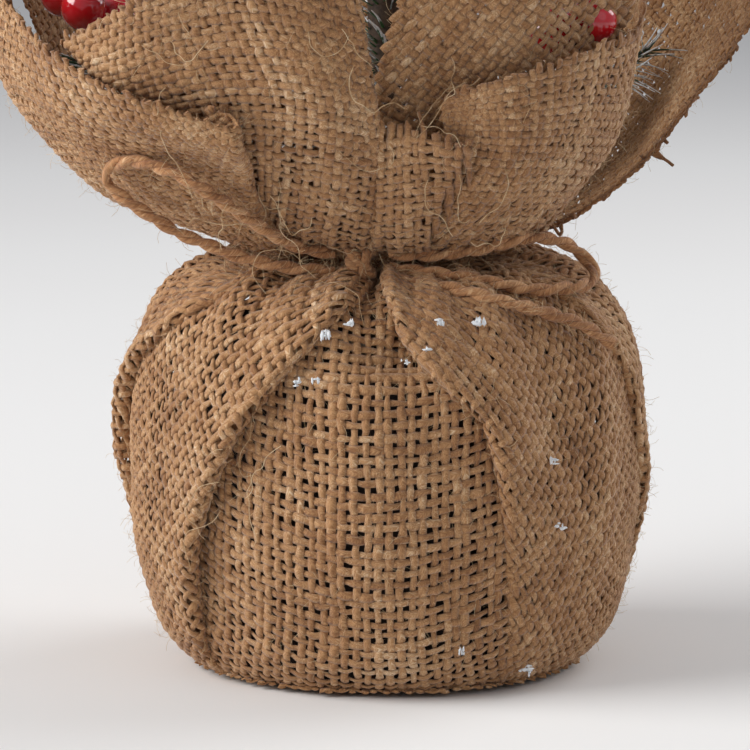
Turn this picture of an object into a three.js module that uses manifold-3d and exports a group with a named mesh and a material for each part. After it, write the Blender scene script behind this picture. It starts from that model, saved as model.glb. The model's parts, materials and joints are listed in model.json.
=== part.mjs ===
// Artificial tabletop tree: a weighted pot wrapped in a square of burlap, the burlap
// gathered and tied with jute twine, and a taped trunk that carries wired branches.
// Millimetres, +Z up, front towards -Y, origin on the underside at the trunk's axis.

import * as THREE from 'three';
import { mergeVertices } from 'three/addons/utils/BufferGeometryUtils.js';
import Module from 'manifold-3d';

const wasm = await Module();
wasm.setup();

// ---- Driving dimensions ----

const GAP = 0.3; // clearance between pieces that touch
const CLOTH = 1.8; // burlap with its small folds pressed flat

const TRUNK_RADIUS = 4.2;
const TRUNK_FOOT = 14;
const TRUNK_TOP = 340;
const TRUNK_SIDES = 12;

const POT_WALL = 1.5;
const POT_HEIGHT = 74;
const POT_FOOT_RADIUS = 39.5;
const POT_RIM_RADIUS = 45;
const CEMENT_TOP = 64;

const WRAP_SIDES = 40;
const WRAP_PLEATS = 7; // folds round the bag
const WRAP_RIPPLE = 0.025; // how far the folds stand out, as a share of the radius
const WRAP_PETALS = 4; // corners of the burlap square
const PETAL_LIFT = 0.09; // how much higher a corner stands than the mean rim
const TIE_BOTTOM = 87.5; // the groove that the twine sits in
const TIE_TOP = 93;
const NECK_RADIUS = 23.5;
const TRUNK_SLOT_RADIUS = 5; // the way left for the trunk through the gathers

const TWINE = 2.8; // diameter of the jute twine
const TWINE_SIDES = 8;

const STEM_SHARE = 0.06; // a branch's bare wire, as a share of its foliage's radius
const BERRY_RADIUS = 5;
const BERRY_SQUEEZE = 0.9; // berries in a bunch press together a little
const BERRY_STALK_RADIUS = 0.8;
const STALK_SHORT = 3.2; // a stalk ends this far under the middle of its bunch

// Each tier of branches: the height it leaves the trunk, its rise above level, the
// number of branches, the bearing of the first one, and the size of one branch.
const TIERS = [
  { height: 102, rise: 24, count: 5, bearing: 30, length: 74, halfWidth: 13, halfDepth: 8 },
  { height: 168, rise: 14, count: 6, bearing: 14, length: 112, halfWidth: 23, halfDepth: 10 },
  { height: 226, rise: 16, count: 6, bearing: 44, length: 98, halfWidth: 21, halfDepth: 10 },
  { height: 280, rise: 20, count: 5, bearing: 18, length: 80, halfWidth: 19, halfDepth: 9 },
  { height: 330, rise: 28, count: 4, bearing: 60, length: 58, halfWidth: 15, halfDepth: 8 },
];
const ROOT_OFFSET = 1.2; // from the trunk's surface to a branch's pivot

// Berry picks and pine cones, by the branch they are wired to (tier, number) and their
// place on it: across the branch, along it and above it.
const BERRIES = [
  { on: [0, 2], at: [0, 70, 12], count: 4 },
  { on: [0, 4], at: [2, 58, 15], count: 3 },
  { on: [1, 1], at: [0, 78, 18], count: 3 },
  { on: [1, 4], at: [8, 80, 18], count: 4 },
  { on: [2, 4], at: [0, 66, 18], count: 3 },
  { on: [3, 3], at: [0, 52, 17], count: 3 },
  { on: [4, 2], at: [0, 36, 16], count: 3 },
];
const CONES = [
  { on: [1, 5], at: [-6, 52, 21] },
  { on: [2, 3], at: [4, 48, 21] },
  { on: [2, 5], at: [-4, 52, 21] },
  { on: [3, 4], at: [0, 40, 20] },
];
const CONE_LENGTH = 26;
const CONE_RADIUS = 9.5;

// ---- Materials ----

function material(colour, roughness, metalness = 0) {
  return new THREE.MeshStandardMaterial({ color: colour, roughness, metalness });
}

const burlap = material(0xb8946a, 0.95);
const jute = material(0xaf7d50, 0.9);
const cement = material(0xb9b5ad, 0.95);
const potPlastic = material(0x3b2a20, 0.6);
const tape = material(0x4a3323, 0.8);
const needles = material(0x274a2c, 0.7);
const berryRed = material(0xc80a1e, 0.25);
const coneWood = material(0x5b3a24, 0.85);

// ---- Shape helpers ----

const outline = (pairs) => pairs.map(([radius, height]) => new THREE.Vector2(radius, height));

// A turned piece about +Z. The outline runs up the outside and down the inside.
function turned(points, sides) {
  return new THREE.LatheGeometry(points, sides).rotateX(Math.PI / 2);
}

// The points of a smooth outline through a few given ones.
function smooth(pairs, steps) {
  return new THREE.SplineCurve(outline(pairs)).getPoints(steps);
}

// The same outline moved sideways by a wall's thickness, to the left of its direction.
function insideOf(points, wall) {
  return points.map((point, i) => {
    const before = points[Math.max(i - 1, 0)];
    const after = points[Math.min(i + 1, points.length - 1)];
    const along = after.clone().sub(before).normalize();
    return new THREE.Vector2(point.x - along.y * wall, point.y + along.x * wall);
  });
}

// A cord along a smooth path through the given points.
function cord(points, steps) {
  const path = new THREE.CatmullRomCurve3(points.map((p) => new THREE.Vector3(...p)));
  const section = new THREE.Shape();
  for (let i = 0; i < TWINE_SIDES; i += 1) {
    const angle = (2 * Math.PI * i) / TWINE_SIDES;
    const x = (Math.cos(angle) * TWINE) / 2;
    const y = (Math.sin(angle) * TWINE) / 2;
    if (i === 0) section.moveTo(x, y);
    else section.lineTo(x, y);
  }
  section.closePath();
  return new THREE.ExtrudeGeometry(section, { steps, bevelEnabled: false, extrudePath: path });
}

function solid(geometry) {
  const bare = geometry.toNonIndexed();
  bare.deleteAttribute('normal');
  bare.deleteAttribute('uv');
  const merged = mergeVertices(bare, 1e-4);
  return new wasm.Manifold(new wasm.Mesh({
    numProp: 3,
    vertProperties: new Float32Array(merged.attributes.position.array),
    triVerts: new Uint32Array(merged.index.array),
  }));
}

function geometryOf(manifold) {
  const mesh = manifold.getMesh();
  const geometry = new THREE.BufferGeometry();
  geometry.setAttribute('position', new THREE.BufferAttribute(mesh.vertProperties, 3));
  geometry.setIndex(new THREE.BufferAttribute(mesh.triVerts, 1));
  geometry.computeVertexNormals();
  return geometry;
}

const group = new THREE.Group();

function add(name, geometry, finish, parent = group) {
  const mesh = new THREE.Mesh(geometry, finish);
  mesh.name = name;
  parent.add(mesh);
  return mesh;
}

// ---- Weighted pot ----

const potFloor = CLOTH + GAP;

function potOuter(height) {
  const share = (height - potFloor) / (POT_HEIGHT - potFloor);
  return POT_FOOT_RADIUS + share * (POT_RIM_RADIUS - POT_FOOT_RADIUS);
}

add('pot', turned(outline([
  [0, potFloor],
  [POT_FOOT_RADIUS, potFloor],
  [POT_RIM_RADIUS, POT_HEIGHT],
  [POT_RIM_RADIUS - POT_WALL, POT_HEIGHT],
  [potOuter(potFloor + POT_WALL) - POT_WALL, potFloor + POT_WALL],
  [0, potFloor + POT_WALL],
]), 32), potPlastic);

const cementFloor = potFloor + POT_WALL + GAP;
const socketRadius = TRUNK_RADIUS + GAP;

add('cement_weight', turned(outline([
  [0, cementFloor],
  [potOuter(cementFloor) - POT_WALL - GAP, cementFloor],
  [potOuter(CEMENT_TOP) - POT_WALL - GAP, CEMENT_TOP],
  [socketRadius, CEMENT_TOP],
  [socketRadius, TRUNK_FOOT - GAP],
  [0, TRUNK_FOOT - GAP],
]), TRUNK_SIDES * 2), cement);

// ---- Burlap: a bag up to the tie, then an open collar of four corners ----

// Folds fade out at the underside, at the tie and at the way for the trunk.
function foldDepth(radius, height) {
  if (radius <= NECK_RADIUS) return 0;
  if (height < TIE_BOTTOM) return Math.sin((Math.PI * height) / TIE_BOTTOM);
  return Math.min(1, Math.max(0, (height - TIE_TOP - CLOTH) / CLOTH / 10));
}

function drape(geometry) {
  const position = geometry.attributes.position;
  const point = new THREE.Vector3();
  for (let i = 0; i < position.count; i += 1) {
    point.fromBufferAttribute(position, i);
    const radius = Math.hypot(point.x, point.y);
    const bearing = Math.atan2(point.y, point.x);
    const fold = WRAP_RIPPLE * foldDepth(radius, point.z) * Math.cos(WRAP_PLEATS * bearing);
    const lift = -PETAL_LIFT * Math.cos(WRAP_PETALS * bearing);
    const above = Math.max(0, point.z - TIE_TOP - CLOTH);
    position.setXYZ(i, point.x * (1 + fold), point.y * (1 + fold), point.z + above * lift);
  }
  return geometry;
}

const bagSide = smooth([[44, 0], [51, 12], [56, 46], [54, 67], [49.5, 77.5], [43, 83], [34, 85.3], [25, 86.3]], 12);
const collarSide = smooth([[24.5, 93], [34, 96.5], [54, 103], [71, 119], [82, 139], [86, 158]], 8);

// The one square of cloth is two solids that meet under the twine.
const tieMiddle = (TIE_BOTTOM + TIE_TOP) / 2;

add('burlap_bag', drape(turned([
  new THREE.Vector2(0, 0),
  ...bagSide,
  ...outline([
    [NECK_RADIUS, TIE_BOTTOM], [NECK_RADIUS, tieMiddle - GAP / 2],
    [TRUNK_SLOT_RADIUS, tieMiddle - GAP / 2], [TRUNK_SLOT_RADIUS, TIE_BOTTOM - CLOTH],
  ]),
  ...insideOf(bagSide, CLOTH).reverse(),
  new THREE.Vector2(0, CLOTH),
], WRAP_SIDES)), burlap);

const collarOutline = [
  ...outline([
    [TRUNK_SLOT_RADIUS, tieMiddle + GAP / 2], [NECK_RADIUS, tieMiddle + GAP / 2],
    [NECK_RADIUS, TIE_TOP],
  ]),
  ...collarSide,
  ...insideOf(collarSide, CLOTH).reverse(),
  ...outline([[TRUNK_SLOT_RADIUS, TIE_TOP + CLOTH], [TRUNK_SLOT_RADIUS, tieMiddle + GAP / 2]]),
];
add('burlap_collar', drape(turned(collarOutline, WRAP_SIDES)), burlap);

// ---- Twine: two turns round the neck, the knot, and the bow's two loops and tail ----

const RING_RADIUS = 25.9;
const RING_HALF_HEIGHT = 2.3; // two turns, one above the other
const ringSection = [];
for (let i = 0; i < TWINE_SIDES; i += 1) {
  const angle = (2 * Math.PI * i) / TWINE_SIDES;
  ringSection.push(new THREE.Vector2(
    RING_RADIUS + (Math.cos(angle) * TWINE) / 2,
    tieMiddle + Math.sin(angle) * RING_HALF_HEIGHT,
  ));
}
ringSection.push(ringSection[0].clone());
add('twine_neck_turns', turned(ringSection, 32), jute);

const KNOT_PLACE = [-5.6, -31.5, 90.3];
const knot = add('bow_knot', new THREE.SphereGeometry(1, 12, 8).scale(4.2, 3.4, 4.2), jute);
knot.position.set(...KNOT_PLACE);

const bowLoopRight = [
  [0.5, -32, 92.4], [9.5, -32.5, 92], [18, -31, 93], [25, -28, 94.2], [31.5, -24, 94.8],
  [37.8, -20.5, 93.2], [42.1, -18.5, 89.8], [44, -21, 86.8], [41.5, -26.5, 85],
  [36.5, -30.5, 84.8], [30.5, -33, 85], [20.5, -35.5, 87], [9.5, -34, 88.6], [0.5, -31.8, 89.2],
];
const bowLoopLeft = [
  [-11, -31.5, 92.2], [-18.7, -33.5, 94], [-25.2, -40, 98.5], [-37.1, -50, 107.5],
  [-44.7, -49.5, 111.6], [-52.3, -45, 113], [-57, -41, 110.8], [-57.5, -39.5, 107.8],
  [-53.4, -39.5, 104.2], [-48, -38.5, 100.5], [-42.5, -37, 97], [-37.1, -36, 94.8],
  [-31.7, -35, 92.4], [-20.8, -33.2, 89.6], [-11, -32, 88.6],
];
const bowTailRight = [
  [0.5, -36, 87.2], [9.5, -38, 86.6], [21, -41, 84.3], [31.5, -38, 81.2],
  [40.5, -34, 77.8], [47.5, -29.5, 73],
];

add('bow_loop_right', cord(bowLoopRight, 30), jute);
add('bow_loop_left', cord(bowLoopLeft, 34), jute);
add('bow_tail_right', cord(bowTailRight, 14), jute);

// ---- Trunk and leader ----

add('trunk', turned(outline([
  [0, TRUNK_FOOT], [TRUNK_RADIUS, TRUNK_FOOT], [TRUNK_RADIUS, TRUNK_TOP], [0, TRUNK_TOP],
]), TRUNK_SIDES), tape);

// The leader's wire stands on the trunk and its foliage tapers to the tree's top.
const leaderFoot = TRUNK_TOP + GAP;
add('leader', turned(outline([
  [0, leaderFoot], [3, leaderFoot], [3, leaderFoot + 22], [13, leaderFoot + 38],
  [13, leaderFoot + 66], [8, leaderFoot + 98], [2, leaderFoot + 120], [0, leaderFoot + 121],
]), 10), needles);

// ---- Branches ----

// The outer shape of a branch's foliage along +Y, with its bare wire at the trunk.
function branchGeometry({ length, halfWidth, halfDepth }) {
  const wire = STEM_SHARE;
  const shape = outline([
    [0, 0], [wire, 0], [wire, 14], [0.5, 26], [1, 0.46 * length],
    [1, 0.72 * length], [0.55, 0.92 * length], [0.1, length], [0, length],
  ]);
  return new THREE.LatheGeometry(shape, 8).scale(halfWidth, 1, halfDepth);
}

const branchFrames = new Map(); // each branch's pivot group, by tier and number

TIERS.forEach((tier, level) => {
  for (let number = 0; number < tier.count; number += 1) {
    const bearing = THREE.MathUtils.degToRad(tier.bearing + (360 * number) / tier.count);
    const reach = TRUNK_RADIUS + ROOT_OFFSET;
    const pivot = new THREE.Group();
    pivot.rotation.order = 'ZYX';
    pivot.position.set(reach * Math.cos(bearing), reach * Math.sin(bearing), tier.height);
    pivot.rotation.z = bearing - Math.PI / 2;
    pivot.rotation.x = THREE.MathUtils.degToRad(tier.rise);
    group.add(pivot);
    branchFrames.set(`${level},${number}`, pivot);
    add(`branch_${level + 1}_${number + 1}`, branchGeometry(tier), needles, pivot);
  }
});

// ---- Berry picks and pine cones ----

// A bunch of berries that just touch each other, round the end of one stalk.
function berryBunch(count) {
  let bunch = null;
  const spread = (BERRY_RADIUS * BERRY_SQUEEZE) / Math.sin(Math.PI / count);
  for (let i = 0; i < count; i += 1) {
    const angle = (2 * Math.PI * i) / count;
    const berry = new THREE.SphereGeometry(BERRY_RADIUS, 8, 6)
      .rotateX(Math.PI / 2)
      .translate(spread * Math.cos(angle), spread * Math.sin(angle), 0);
    bunch = bunch === null ? solid(berry) : bunch.add(solid(berry));
  }
  return geometryOf(bunch);
}

BERRIES.forEach(({ on, at, count }, i) => {
  const frame = branchFrames.get(on.join(','));
  const [across, along, above] = at;
  const bunch = add(`berries_${i + 1}`, berryBunch(count), berryRed, frame);
  bunch.position.set(across, along, above);
  const deck = TIERS[on[0]].halfDepth + GAP;
  const stalkLength = above - STALK_SHORT - deck;
  const stalk = add(
    `berry_stalk_${i + 1}`,
    new THREE.CylinderGeometry(BERRY_STALK_RADIUS, BERRY_STALK_RADIUS, stalkLength, 6),
    tape,
    frame,
  );
  stalk.rotation.x = Math.PI / 2;
  stalk.position.set(across, along, deck + stalkLength / 2);
});

CONES.forEach(({ on, at }, i) => {
  const half = CONE_LENGTH / 2;
  const body = new THREE.LatheGeometry(outline([
    [0, -half], [0.55 * CONE_RADIUS, -0.92 * half], [CONE_RADIUS, -0.45 * half],
    [0.92 * CONE_RADIUS, 0.05 * half], [0.6 * CONE_RADIUS, 0.6 * half],
    [0.2 * CONE_RADIUS, 0.97 * half], [0, half],
  ]), 10);
  const cone = add(`pine_cone_${i + 1}`, body, coneWood, branchFrames.get(on.join(',')));
  cone.position.set(...at);
});

export default group;
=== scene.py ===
import json
import math

import bpy
import numpy as np
from mathutils import Matrix, Vector


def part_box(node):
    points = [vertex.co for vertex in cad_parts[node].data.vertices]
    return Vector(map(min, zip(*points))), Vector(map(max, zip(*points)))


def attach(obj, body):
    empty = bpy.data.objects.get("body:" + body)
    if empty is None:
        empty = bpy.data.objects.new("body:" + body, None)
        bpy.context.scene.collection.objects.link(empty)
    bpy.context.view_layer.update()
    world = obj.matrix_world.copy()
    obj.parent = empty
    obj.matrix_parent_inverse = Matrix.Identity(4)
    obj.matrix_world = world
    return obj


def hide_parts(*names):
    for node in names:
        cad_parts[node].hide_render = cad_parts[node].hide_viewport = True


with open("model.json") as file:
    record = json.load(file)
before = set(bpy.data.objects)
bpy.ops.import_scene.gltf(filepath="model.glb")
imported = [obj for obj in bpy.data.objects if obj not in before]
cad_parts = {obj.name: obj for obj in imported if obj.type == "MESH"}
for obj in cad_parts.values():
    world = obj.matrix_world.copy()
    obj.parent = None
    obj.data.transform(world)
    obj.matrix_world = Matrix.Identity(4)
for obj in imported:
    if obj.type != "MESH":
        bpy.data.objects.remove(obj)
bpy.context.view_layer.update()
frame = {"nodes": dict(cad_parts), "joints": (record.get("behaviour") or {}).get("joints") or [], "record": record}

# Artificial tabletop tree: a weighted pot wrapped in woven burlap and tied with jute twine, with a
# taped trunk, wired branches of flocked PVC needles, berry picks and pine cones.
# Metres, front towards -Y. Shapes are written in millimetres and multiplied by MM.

MM = 0.001

# ---- Driving sizes, in millimetres ----

PITCH = 2.4  # from one burlap thread to the next
PULLED_PITCH = 2.05  # in the collar, where the cloth is pulled on the bias
YARN_WIDTH = 1.74
YARN_THICKNESS = 0.74
CRIMP = 0.29  # how far a thread rises over its neighbours and sinks under them
# An allowance, judged and not measured, for cloth out of sight in tucks and under laps. Each sheet's
# flat area is reckoned as this many times the area that is woven.
GATHERED = 1.35
TWINE = 2.8
TWINE_LAY = 11.0  # length of one full twist of the twine's two strands
FIBRE = 0.1
NEEDLE_LENGTH = 17.0
NEEDLE_WIDTH = 1.1
BERRY_RADIUS = 5.0
BERRY_SQUEEZE = 0.9
BERRY_COUNTS = (4, 3, 3, 4, 3, 3, 3)

# The twine's routes, the same as the CAD model's.
BOW_LOOP_RIGHT = [
    (0.5, -32, 92.4), (9.5, -32.5, 92), (18, -31, 93), (25, -28, 94.2), (31.5, -24, 94.8),
    (37.8, -20.5, 93.2), (42.1, -18.5, 89.8), (44, -21, 86.8), (41.5, -26.5, 85),
    (36.5, -30.5, 84.8), (30.5, -33, 85), (20.5, -35.5, 87), (9.5, -34, 88.6), (0.5, -31.8, 89.2),
]
BOW_LOOP_LEFT = [
    (-11, -31.5, 92.2), (-18.7, -33.5, 94), (-25.2, -40, 98.5), (-37.1, -50, 107.5),
    (-44.7, -49.5, 111.6), (-52.3, -45, 113), (-57, -41, 110.8), (-57.5, -39.5, 107.8),
    (-53.4, -39.5, 104.2), (-48, -38.5, 100.5), (-42.5, -37, 97), (-37.1, -36, 94.8),
    (-31.7, -35, 92.4), (-20.8, -33.2, 89.6), (-11, -32, 88.6),
]
BOW_TAIL_RIGHT = [
    (0.5, -36, 87.2), (9.5, -38, 86.6), (21, -41, 84.3), (31.5, -38, 81.2),
    (40.5, -34, 77.8), (47.5, -29.5, 73),
]


# ---- Small helpers ----

def linear(hex_colour):
    """An sRGB hex colour as the linear RGBA that Blender's sockets take."""
    parts = [int(hex_colour[i:i + 2], 16) / 255 for i in (1, 3, 5)]
    return (*[c / 12.92 if c <= 0.04045 else ((c + 0.055) / 1.055) ** 2.4 for c in parts], 1.0)


def add(tree, kind, inputs=None, **settings):
    """Adds a node with its own settings, and its inputs as values or as other nodes' outputs."""
    made = tree.nodes.new(kind)
    for name, value in settings.items():
        setattr(made, name, value)
    for socket, value in (inputs or {}).items():
        if isinstance(value, bpy.types.NodeSocket):
            tree.links.new(value, made.inputs[socket])
        else:
            made.inputs[socket].default_value = value
    return made


def link(piece):
    bpy.context.scene.collection.objects.link(piece)
    return piece


def smooth_line(points, per_span):
    """A smooth line through given points, with the same number of steps in each span."""
    points = np.asarray(points, float)
    before = np.vstack([2 * points[0] - points[1], points, 2 * points[-1] - points[-2]])
    rows = []
    for i in range(len(points) - 1):
        a, b, c, d = before[i:i + 4]
        for step in range(per_span):
            t = step / per_span
            rows.append(0.5 * (2 * b + (c - a) * t + (2 * a - 5 * b + 4 * c - d) * t ** 2
                               + (3 * b - a - 3 * c + d) * t ** 3))
    rows.append(points[-1])
    return np.array(rows)


def along(points):
    """The distance of each point from the first, along the line."""
    return np.concatenate([[0], np.cumsum(np.linalg.norm(np.diff(points, axis=0), axis=1))])


def unit(vectors):
    return vectors / np.maximum(np.linalg.norm(vectors, axis=-1, keepdims=True), 1e-12)


# ---- Camera ----

CAMERA_LENS = 199
CAMERA_AIM = Vector((-2.4, 0, 62.0)) * MM
CAMERA_DISTANCE = 0.9
CAMERA_RISE = 8.5  # degrees


def place_camera():
    """A long lens at table height, a little above the wrap."""
    data = bpy.data.cameras.new("camera")
    data.sensor_width = 36
    data.lens = CAMERA_LENS
    camera = link(bpy.data.objects.new("camera", data))
    rise = math.radians(CAMERA_RISE)
    back = Vector((0, -math.cos(rise), math.sin(rise)))
    camera.location = CAMERA_AIM + CAMERA_DISTANCE * back
    camera.rotation_euler = (math.pi / 2 - rise, 0, 0)
    bpy.context.scene.camera = camera


place_camera()


# ---- Materials ----

def new_material(name, **values):
    """A material whose plain shader values are given with _ for the spaces in their names."""
    material = bpy.data.materials.new(name)
    material.use_nodes = True
    shader = material.node_tree.nodes["Principled BSDF"]
    for socket, value in values.items():
        shader.inputs[socket.replace("_", " ")].default_value = value
    return material, material.node_tree, shader


def blend_colours(tree, factor, stops):
    """A colour ramp with (place, hex colour) stops."""
    ramp = add(tree, "ShaderNodeValToRGB", {"Fac": factor})
    while len(ramp.color_ramp.elements) < len(stops):
        ramp.color_ramp.elements.new(0.5)
    for element, (place, shade) in zip(ramp.color_ramp.elements, stops):
        element.position = place
        element.color = linear(shade)
    return ramp.outputs["Color"]


def yarn_material(name, stops, streak_mm, patch_mm, bump_mm):
    """Spun jute: dull, golden-brown bast fibres, lightly twisted, paler where they lift off."""
    material, tree, shader = new_material(
        name, Roughness=0.88, Sheen_Weight=0.2, Sheen_Roughness=0.5)
    uv = add(tree, "ShaderNodeUVMap", uv_map="thread")
    parts = add(tree, "ShaderNodeSeparateXYZ", {"Vector": uv.outputs["UV"]})
    length = parts.outputs["Y"]
    twist = add(tree, "ShaderNodeMath", {0: length, 1: 1 / (4.5 * MM), 2: parts.outputs["X"]},
                operation="MULTIPLY_ADD")
    round_yarn = add(tree, "ShaderNodeMath", {0: twist.outputs[0], 1: 7.0}, operation="MULTIPLY")
    down_yarn = add(tree, "ShaderNodeMath", {0: length, 1: 1 / (streak_mm * MM)},
                    operation="MULTIPLY")
    shade = add(tree, "ShaderNodeAttribute", attribute_name="shade")
    lane = add(tree, "ShaderNodeMath", {0: shade.outputs["Fac"], 1: 37.0}, operation="MULTIPLY")
    place = add(tree, "ShaderNodeCombineXYZ",
                {"X": round_yarn.outputs[0], "Y": down_yarn.outputs[0], "Z": lane.outputs[0]})
    streaks = add(tree, "ShaderNodeTexNoise",
                  {"Vector": place.outputs[0], "Scale": 1.0, "Detail": 3.0, "Roughness": 0.6})
    spot = add(tree, "ShaderNodeTexCoord")
    patches = add(tree, "ShaderNodeTexNoise",
                  {"Vector": spot.outputs["Object"], "Scale": 1 / (patch_mm * MM), "Detail": 2.0})
    mixed = add(tree, "ShaderNodeMath",
                {0: streaks.outputs["Fac"], 1: 0.75, 2: -0.06}, operation="MULTIPLY_ADD")
    with_patch = add(tree, "ShaderNodeMath",
                     {0: patches.outputs["Fac"], 1: 0.26, 2: mixed.outputs[0]},
                     operation="MULTIPLY_ADD")
    tone = add(tree, "ShaderNodeMath",
               {0: shade.outputs["Fac"], 1: 0.22, 2: with_patch.outputs[0]},
               operation="MULTIPLY_ADD")
    tree.links.new(blend_colours(tree, tone.outputs[0], stops), shader.inputs["Base Color"])
    bump = add(tree, "ShaderNodeBump",
               {"Height": streaks.outputs["Fac"], "Distance": bump_mm * MM, "Strength": 1.0})
    tree.links.new(bump.outputs["Normal"], shader.inputs["Normal"])
    return material


def grained_material(name, size_mm, stops, bump_mm, detail=4.0, **values):
    """A finish whose colour and bump follow one noise in the object's own space."""
    material, tree, shader = new_material(name, **values)
    spot = add(tree, "ShaderNodeTexCoord")
    grain = add(tree, "ShaderNodeTexNoise",
                {"Vector": spot.outputs["Object"], "Scale": 1 / (size_mm * MM), "Detail": detail})
    tree.links.new(blend_colours(tree, grain.outputs["Fac"], stops), shader.inputs["Base Color"])
    bump = add(tree, "ShaderNodeBump",
               {"Height": grain.outputs["Fac"], "Distance": bump_mm * MM, "Strength": 0.7})
    tree.links.new(bump.outputs["Normal"], shader.inputs["Normal"])
    return material


def needle_material():
    """Slit PVC film: glossy dark green, sprayed with white flock towards the tips."""
    material, tree, shader = new_material("flocked_pvc_needle", Roughness=0.5, IOR=1.53)
    tip = add(tree, "ShaderNodeAttribute", attribute_name="tip")
    shade = add(tree, "ShaderNodeAttribute", attribute_name="shade")
    spot = add(tree, "ShaderNodeTexCoord")
    grit = add(tree, "ShaderNodeTexNoise",
               {"Vector": spot.outputs["Object"], "Scale": 1 / (1.6 * MM), "Detail": 3.0})
    cover = add(tree, "ShaderNodeTexNoise",
                {"Vector": spot.outputs["Object"], "Scale": 1 / (22 * MM), "Detail": 1.0})
    sprayed = add(tree, "ShaderNodeMath", {0: grit.outputs["Fac"], 1: 0.9, 2: tip.outputs["Fac"]},
                  operation="MULTIPLY_ADD")
    heavier = add(tree, "ShaderNodeMath",
                  {0: cover.outputs["Fac"], 1: 1.1, 2: sprayed.outputs[0]},
                  operation="MULTIPLY_ADD")
    flock = add(tree, "ShaderNodeMapRange",
                {"Value": heavier.outputs[0], "From Min": 1.42, "From Max": 1.62})
    green = blend_colours(tree, shade.outputs["Fac"],
                          [(0.0, "#16301C"), (0.5, "#234A2A"), (1.0, "#3A6238")])
    colour = add(tree, "ShaderNodeMix", {0: flock.outputs[0], 6: green, 7: linear("#EEF1F2")},
                 data_type="RGBA")
    tree.links.new(colour.outputs[2], shader.inputs["Base Color"])
    rough = add(tree, "ShaderNodeMapRange", {"Value": flock.outputs[0], "To Min": 0.42,
                                             "To Max": 0.95})
    tree.links.new(rough.outputs[0], shader.inputs["Roughness"])
    return material


BURLAP_YARN = yarn_material(
    "burlap_jute_yarn",
    [(0.22, "#523018"), (0.44, "#90623A"), (0.62, "#B98B5D"), (0.82, "#E8CDA9")], 3.0, 14.0, 0.2)
TWINE_YARN = yarn_material(
    "jute_twine_strand",
    [(0.25, "#4E2D17"), (0.45, "#91603A"), (0.62, "#BD895B"), (0.82, "#E9C497")], 5.0, 10.0, 0.25)
# Loose bast fibres: pale straw, thin and springy.
LOOSE_FIBRE = grained_material(
    "loose_jute_fibre", 3.0, [(0.3, "#B08A5E"), (0.7, "#E6D0AA")], 0.01, Roughness=0.7)
NEEDLE = needle_material()
# Brown PVC film wound on the branch wire: dull, with a fine slant from the winding.
TWIG_WRAP = grained_material(
    "brown_twig_wrap", 1.2, [(0.3, "#2B1B12"), (0.7, "#4A3020")], 0.1, Roughness=0.7)
# Sprayed flock: matt white crumbs of short fibres, which stay in little heaps.
SNOW_FLOCK = grained_material(
    "white_snow_flock", 0.6, [(0.3, "#E3E7EA"), (0.7, "#FBFCFD")], 0.12, Roughness=0.95,
    Subsurface_Weight=0.15)
# Foam berries under red lacquer: deep, even red with a hard, wet gloss.
BERRY_LACQUER = grained_material(
    "red_berry_lacquer", 6.0, [(0.3, "#B00616"), (0.7, "#D00C20")], 0.02, detail=1.0,
    Roughness=0.14, Coat_Weight=1.0, Coat_Roughness=0.04)
BERRY_TIP = grained_material(
    "berry_dark_tip", 0.8, [(0.3, "#1C0D08"), (0.7, "#3A2014")], 0.1, Roughness=0.6)
# Dried pine-cone scale: brown wood, darker inside and paler at its weathered lip.
PINE_SCALE = grained_material(
    "dried_pine_scale", 1.5, [(0.3, "#3C2415"), (0.55, "#6B452B"), (0.8, "#9A7350")], 0.2,
    Roughness=0.8)
# Waxed crepe florist tape, wound tight: dark brown with a dull sheen.
FLORIST_TAPE = grained_material(
    "florist_crepe_tape", 0.9, [(0.3, "#2F2015"), (0.7, "#55402D")], 0.15, Roughness=0.75)
# Moulded polypropylene: dark brown, even, and slightly glossy.
POT_PLASTIC = grained_material(
    "brown_polypropylene_pot", 0.5, [(0.3, "#2A1C14"), (0.7, "#33241A")], 0.02, Roughness=0.55)
# Cast cement: grey, matt and a little pitted.
CEMENT = grained_material(
    "cast_cement", 2.5, [(0.3, "#8E8A82"), (0.7, "#C2BDB4")], 0.3, Roughness=0.95)


# ---- Geometry Nodes trees ----

def new_tree(name, inputs):
    """A Geometry Nodes tree with geometry in and out and the named inputs (name, type)."""
    tree = bpy.data.node_groups.new(name, "GeometryNodeTree")
    tree.interface.new_socket("Geometry", in_out="INPUT", socket_type="NodeSocketGeometry")
    for label, kind in inputs:
        tree.interface.new_socket(label, in_out="INPUT", socket_type="NodeSocket" + kind)
    tree.interface.new_socket("Geometry", in_out="OUTPUT", socket_type="NodeSocketGeometry")
    return tree, add(tree, "NodeGroupInput").outputs


def close_tree(tree, geometry, material=None):
    """Ends a tree: instances made real, smooth faces, and the material where one is given."""
    real = add(tree, "GeometryNodeRealizeInstances", {"Geometry": geometry})
    last = add(tree, "GeometryNodeSetShadeSmooth", {"Geometry": real.outputs["Geometry"]})
    if material is not None:
        last = add(tree, "GeometryNodeSetMaterial",
                   {"Geometry": last.outputs["Geometry"], "Material": material})
    add(tree, "NodeGroupOutput", {"Geometry": last.outputs["Geometry"]})
    return tree


def keep_value(tree, geometry, value, label):
    """Captures a value on a geometry and returns the geometry and the kept value."""
    kept = tree.nodes.new("GeometryNodeCaptureAttribute")
    kept.capture_items.new("FLOAT", label)
    tree.links.new(geometry, kept.inputs["Geometry"])
    tree.links.new(value, kept.inputs[label])
    return kept.outputs["Geometry"], kept.outputs[label]


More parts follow.
